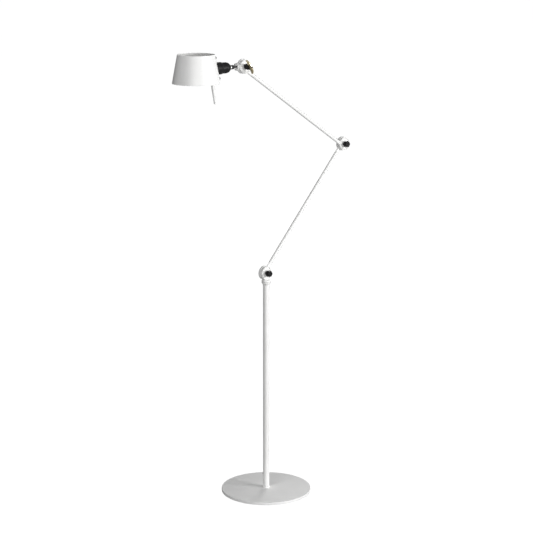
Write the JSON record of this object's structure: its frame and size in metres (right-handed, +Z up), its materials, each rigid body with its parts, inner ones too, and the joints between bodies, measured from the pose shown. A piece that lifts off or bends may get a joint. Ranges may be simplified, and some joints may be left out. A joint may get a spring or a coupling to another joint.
{
  "type": "adjustable arm floor lamp",
  "caption": "Floor lamp with a round weighted base, an upright pole, two arms on clamped disc joints and an open tapered shade on a tilting, turning lamp holder.",
  "frame": {"origin": "centre of the base's underside, on the floor", "axes": "+Z up the pole, +X the side the elbow points to, -X the side the shade hangs on, -Y the side of the clamping knobs"},
  "size_m": [0.8521, 0.35, 1.7294],
  "materials": {
    "white_paint": "satin white powder coat with a faint orange peel",
    "base_paint": "matte white powder coat, fine texture, on the heavy plate",
    "shade_paint": "smooth satin white powder coat on thin spun sheet",
    "black_plastic": "moulded black plastic, slightly satin",
    "brass": "brushed brass with softened edges",
    "bright_steel": "turned bright steel",
    "black_steel": "black oxide steel",
    "felt": "pressed felt",
    "grey_nylon": "grey nylon",
    "cable_sheath": "flexible lead sheath",
    "frosted_glass": "frosted glass bulb"
  },
  "bodies": {
    "base": {"base_plate": "base_paint", "base_pad": "felt", "base_bolt": "bright_steel", "pole_foot_ring": "white_paint", "pole_plug": "bright_steel", "pole_tube": "white_paint", "pole_collar": "white_paint", "pole_lead": "cable_sheath", "cord_grommet": "black_plastic", "swivel_bush": "grey_nylon"},
    "knuckle": {"pole_knuckle": "white_paint", "swivel_circlip": "black_steel"},
    "lower_arm": {"lower_arm_tube": "white_paint", "lower_arm_root_disc": "white_paint", "lower_arm_tip_disc": "white_paint", "lower_arm_lead": "cable_sheath", "knee_bolt": "bright_steel", "knee_washer": "black_steel", "knee_friction_ring": "grey_nylon", "elbow_bolt": "bright_steel", "elbow_washer": "black_steel", "elbow_friction_ring": "grey_nylon"},
    "upper_arm": {"upper_arm_tube": "white_paint", "upper_arm_root_disc": "white_paint", "upper_arm_tip_disc": "white_paint", "upper_arm_lead": "cable_sheath"},
    "head": {"head_disc": "white_paint", "swivel_stem": "black_steel", "head_bolt": "bright_steel", "head_washer": "black_steel", "head_friction_ring": "grey_nylon"},
    "lamp": {"gland_nut": "black_plastic", "neck_bush": "bright_steel", "holder_cap": "black_plastic", "holder_skirt": "black_plastic", "holder_insert": "black_plastic", "screw_shell": "brass", "centre_contact": "brass", "bulb_cap": "bright_steel", "bulb_glass": "frosted_glass", "shade": "shade_paint", "shade_saddle": "white_paint", "handle_rod": "white_paint", "handle_screw": "black_steel", "shade_bolt_1": "black_steel", "shade_bolt_2": "black_steel", "shade_bolt_3": "black_steel", "shade_bolt_4": "black_steel"},
    "knee_clamp_knob": {"knee_knob": "black_plastic"},
    "elbow_clamp_knob": {"elbow_knob": "black_plastic"},
    "wing_nut": {"wing_hub": "black_plastic", "wing_plate": "brass", "wing_screw": "black_steel"}
  },
  "joints": [
    {"name": "pole_swivel", "type": "hinge", "parent": "base", "child": "knuckle", "pos_m": [0, 0, 0.8435], "axis": [0, 0, 1], "range_deg": [-175, 175]},
    {"name": "knee", "type": "hinge", "parent": "knuckle", "child": "lower_arm", "pos_m": [0, 0, 0.877], "axis": [0, 1, 0], "range_deg": [-110, 68]},
    {"name": "elbow", "type": "hinge", "parent": "lower_arm", "child": "upper_arm", "pos_m": [0.40872, 0, 1.33654], "axis": [0, 1, 0], "range_deg": [-50, 98]},
    {"name": "head_tilt", "type": "hinge", "parent": "upper_arm", "child": "head", "pos_m": [-0.10619, 0, 1.67284], "axis": [0, 1, 0], "range_deg": [-85, 85]},
    {"name": "shade_roll", "type": "hinge", "parent": "head", "child": "lamp", "pos_m": [-0.10619, 0.0104, 1.67284], "axis": [1, 0, 0], "range_deg": [-160, 160]},
    {"name": "knee_knob_turn", "type": "hinge", "parent": "lower_arm", "child": "knee_clamp_knob", "pos_m": [0, 0, 0.877], "axis": [0, 1, 0], "range_deg": [-180, 180]},
    {"name": "elbow_knob_turn", "type": "hinge", "parent": "lower_arm", "child": "elbow_clamp_knob", "pos_m": [0.40872, 0, 1.33654], "axis": [0, 1, 0], "range_deg": [-180, 180]},
    {"name": "wing_nut_turn", "type": "hinge", "parent": "head", "child": "wing_nut", "pos_m": [-0.10619, 0, 1.67284], "axis": [0, 1, 0], "range_deg": [-180, 180]}
  ]
}
